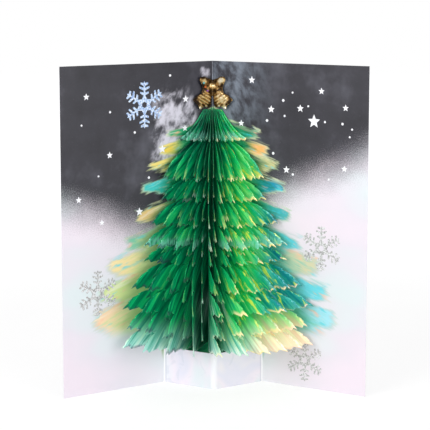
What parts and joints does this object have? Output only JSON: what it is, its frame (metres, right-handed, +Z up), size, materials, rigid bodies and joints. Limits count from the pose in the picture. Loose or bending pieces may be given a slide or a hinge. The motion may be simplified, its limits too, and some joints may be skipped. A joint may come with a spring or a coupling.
{
  "type": "pop up card",
  "caption": "Folding greeting card standing open, with a fan of green film leaves that forms a fir tree over a folded base strip, a gold bow-and-bells topper and foil snowflakes.",
  "frame": {"origin": "foot of the spine fold, in the middle of the card's thickness, on the plane that the card stands on", "axes": "+Z up along the spine; the card opens towards -Y, with the left panel towards -X"},
  "size_m": [0.1826, 0.0769, 0.2],
  "materials": {
    "printed_card": "satin",
    "gloss_card": "gloss",
    "leaf_film": "gloss",
    "gold_film": "gloss",
    "blue_foil": "gloss",
    "silver_foil": "gloss",
    "white_foil": "gloss"
  },
  "bodies": {
    "root": {"base_strip": "gloss_card", "cover": "printed_card", "foil_stars_left": "white_foil", "foil_stars_right": "white_foil", "gold_topper": "gold_film", "leaf_01": "leaf_film", "leaf_02": "leaf_film", "leaf_03": "leaf_film", "leaf_04": "leaf_film", "leaf_05": "leaf_film", "leaf_06": "leaf_film", "leaf_07": "leaf_film", "leaf_08": "leaf_film", "leaf_09": "leaf_film", "leaf_10": "leaf_film", "leaf_11": "leaf_film", "leaf_12": "leaf_film", "leaf_13": "leaf_film", "leaf_14": "leaf_film", "leaf_15": "leaf_film", "leaf_16": "leaf_film", "leaf_17": "leaf_film", "leaf_18": "leaf_film", "leaf_19": "leaf_film", "snowflake_1": "blue_foil", "snowflake_2": "silver_foil", "snowflake_3": "silver_foil", "snowflake_4": "silver_foil"}
  },
  "joints": []
}
